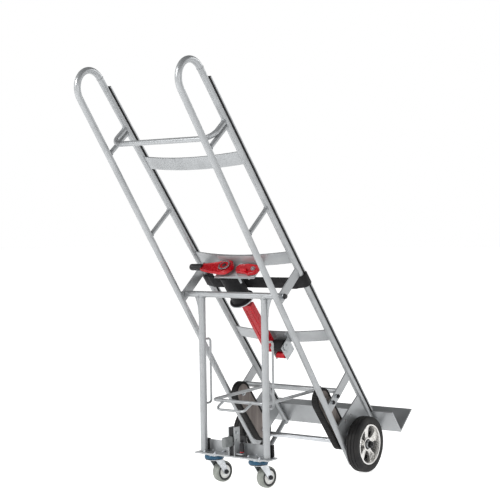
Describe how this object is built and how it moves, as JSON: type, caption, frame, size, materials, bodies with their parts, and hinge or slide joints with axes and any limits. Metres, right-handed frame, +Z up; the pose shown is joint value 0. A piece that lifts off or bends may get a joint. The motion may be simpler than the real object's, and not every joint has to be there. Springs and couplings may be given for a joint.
{
  "type": "hand truck",
  "caption": "Self-standing stair-climbing hand truck, tilted back, with tall tube rails, crawler belts, strap winders and a fold-down support leg on swivel casters.",
  "frame": {"origin": "on the floor under the middle of the whole truck, halfway between its sides", "axes": "+X to the right seen from behind, +Y forward towards the load and toe plate, +Z up"},
  "size_m": [0.61, 1.2682, 1.4293],
  "materials": {
    "frame_paint": "satin silver-grey powder coat",
    "dark_steel": "brushed dark steel",
    "belt_rubber": "black ribbed rubber",
    "roller_plastic": "black nylon",
    "cast_aluminium": "polished cast aluminium",
    "tyre_rubber": "black rubber",
    "zinc": "bright zinc plate",
    "caster_rim": "light grey plastic, black rim",
    "caster_rubber": "grey rubber",
    "bright_steel": "zinc plated",
    "channel_metal": "mill finish",
    "bumper_rubber": "black rubber",
    "bare_steel": "zinc plated steel",
    "webbing_black": "black polyester webbing",
    "red_paint": "gloss red enamel",
    "pedal_grey": "grey moulded tread pad",
    "knob_plastic": "black plastic",
    "caster_blue": "blue bearing seal on zinc plate"
  },
  "bodies": {
    "truck_frame": {"axle": "bright_steel", "axle_gussets": "frame_paint", "bumper_channels": "channel_metal", "bumper_rubbers": "bumper_rubber", "crawler_belt_left": "belt_rubber", "crawler_belt_right": "belt_rubber", "crawler_frame_left": "dark_steel", "crawler_frame_right": "dark_steel", "cross_strap_lower": "frame_paint", "cross_strap_middle": "frame_paint", "cross_strap_upper": "frame_paint", "foot_bars": "frame_paint", "frame_bolts": "bright_steel", "front_rail_left": "frame_paint", "front_rail_right": "frame_paint", "handle_crossbar": "frame_paint", "handle_loop_left": "frame_paint", "handle_loop_right": "frame_paint", "lower_crossbar": "frame_paint", "lower_plates": "frame_paint", "lower_winder_base": "bare_steel", "pivot_plate_left": "frame_paint", "pivot_plate_right": "frame_paint", "rear_rail_left": "frame_paint", "rear_rail_right": "frame_paint", "side_struts": "frame_paint", "toe_plate": "frame_paint", "upper_winder_base": "bare_steel", "webbing": "webbing_black"},
    "support_leg": {"leg_pivot_tube": "frame_paint", "leg_gussets": "frame_paint", "leg_base_angle": "frame_paint", "guide_rods": "frame_paint", "leg_buffers": "bumper_rubber", "latch_bracket": "frame_paint", "caster_mounts": "caster_blue", "leg_post_left": "frame_paint", "leg_post_right": "frame_paint"},
    "brace": {"brace_rod": "frame_paint", "foot_loop": "frame_paint"},
    "foot_pedal": {"foot_pedal": "pedal_grey"},
    "latch_knob": {"latch_knob": "knob_plastic"},
    "upper_reel": {"upper_reel": "webbing_black"},
    "upper_lever": {"upper_lever": "red_paint"},
    "lower_spool": {"lower_spool": "webbing_black"},
    "lower_lever": {"lower_lever": "red_paint"},
    "main_wheel_left": {"wheel_hub_left": "cast_aluminium", "wheel_tyre_left": "tyre_rubber"},
    "lower_roller_left": {"lower_roller_left": "roller_plastic"},
    "upper_roller_left": {"upper_roller_left": "roller_plastic"},
    "caster_swivel_left": {"caster_fork_left": "zinc"},
    "caster_wheel_left": {"caster_wheel_left": "caster_rim", "caster_tyre_left": "caster_rubber"},
    "main_wheel_right": {"wheel_hub_right": "cast_aluminium", "wheel_tyre_right": "tyre_rubber"},
    "lower_roller_right": {"lower_roller_right": "roller_plastic"},
    "upper_roller_right": {"upper_roller_right": "roller_plastic"},
    "caster_swivel_right": {"caster_fork_right": "zinc"},
    "caster_wheel_right": {"caster_wheel_right": "caster_rim", "caster_tyre_right": "caster_rubber"}
  },
  "joints": [
    {"name": "leg_fold", "type": "hinge", "parent": "truck_frame", "child": "support_leg", "pos_m": [0, -0.08832, 0.66756], "axis": [1, 0, 0], "range_deg": [0, 38]},
    {"name": "brace_fold", "type": "hinge", "parent": "truck_frame", "child": "brace", "pos_m": [0, 0.27471, 0.30263], "axis": [1, 0, 0], "range_deg": [-48.5, 0]},
    {"name": "foot_pedal_press", "type": "hinge", "parent": "support_leg", "child": "foot_pedal", "pos_m": [0, -0.10032, 0.166], "axis": [1, 0, 0], "range_deg": [0, 14], "stiffness_Nm_per_rad": 2, "springref_deg": -8.59},
    {"name": "latch_knob_pull", "type": "slide", "parent": "support_leg", "child": "latch_knob", "axis": [0, 0, 1], "range_m": [0, 0.008], "stiffness_N_per_m": 400, "springref_m": -0.004},
    {"name": "main_wheel_left_spin", "type": "hinge", "parent": "truck_frame", "child": "main_wheel_left", "pos_m": [-0.2535, 0.36794, 0.1015], "axis": [1, 0, 0], "continuous": true},
    {"name": "upper_roller_left_spin", "type": "hinge", "parent": "truck_frame", "child": "upper_roller_left", "pos_m": [-0.178, 0.19194, 0.28041], "axis": [1, 0, 0], "continuous": true},
    {"name": "lower_roller_left_spin", "type": "hinge", "parent": "truck_frame", "child": "lower_roller_left", "pos_m": [-0.178, 0.31916, 0.12609], "axis": [1, 0, 0], "continuous": true},
    {"name": "caster_left_swivel", "type": "hinge", "parent": "support_leg", "child": "caster_swivel_left", "pos_m": [-0.0955, -0.08232, 0.095], "axis": [0, 0, 1], "continuous": true},
    {"name": "caster_left_spin", "type": "hinge", "parent": "caster_swivel_left", "child": "caster_wheel_left", "pos_m": [-0.08873, -0.04391, 0.0375], "axis": [0.9848, -0.1736, 0], "continuous": true},
    {"name": "main_wheel_right_spin", "type": "hinge", "parent": "truck_frame", "child": "main_wheel_right", "pos_m": [0.2535, 0.36794, 0.1015], "axis": [1, 0, 0], "continuous": true},
    {"name": "upper_roller_right_spin", "type": "hinge", "parent": "truck_frame", "child": "upper_roller_right", "pos_m": [0.178, 0.19194, 0.28041], "axis": [1, 0, 0], "continuous": true},
    {"name": "lower_roller_right_spin", "type": "hinge", "parent": "truck_frame", "child": "lower_roller_right", "pos_m": [0.178, 0.31916, 0.12609], "axis": [1, 0, 0], "continuous": true},
    {"name": "caster_right_swivel", "type": "hinge", "parent": "support_leg", "child": "caster_swivel_right", "pos_m": [0.0955, -0.08232, 0.095], "axis": [0, 0, 1], "continuous": true},
    {"name": "caster_right_spin", "type": "hinge", "parent": "caster_swivel_right", "child": "caster_wheel_right", "pos_m": [0.10227, -0.04391, 0.0375], "axis": [0.9848, -0.1736, 0], "continuous": true},
    {"name": "upper_reel_spin", "type": "hinge", "parent": "truck_frame", "child": "upper_reel", "pos_m": [-0.045, 0.02884, 0.64491], "axis": [0, -0.6361, 0.7716], "continuous": true},
    {"name": "upper_lever_swing", "type": "hinge", "parent": "truck_frame", "child": "upper_lever", "pos_m": [-0.045, -0.06275, 0.75603], "axis": [0, -0.6361, 0.7716], "range_deg": [0, 100]},
    {"name": "lower_spool_spin", "type": "hinge", "parent": "truck_frame", "child": "lower_spool", "pos_m": [0.014, 0.1795, 0.46844], "axis": [1, 0, 0], "continuous": true},
    {"name": "lower_lever_swing", "type": "hinge", "parent": "truck_frame", "child": "lower_lever", "pos_m": [-0.061, 0.1795, 0.46844], "axis": [1, 0, 0], "range_deg": [0, 90]}
  ],
  "couplings": [
    {"joint": "brace_fold", "follows": "leg_fold", "ratio": -1.26},
    {"joint": "lower_roller_left_spin", "follows": "upper_roller_left_spin", "ratio": 1},
    {"joint": "lower_roller_right_spin", "follows": "upper_roller_right_spin", "ratio": 1}
  ]
}
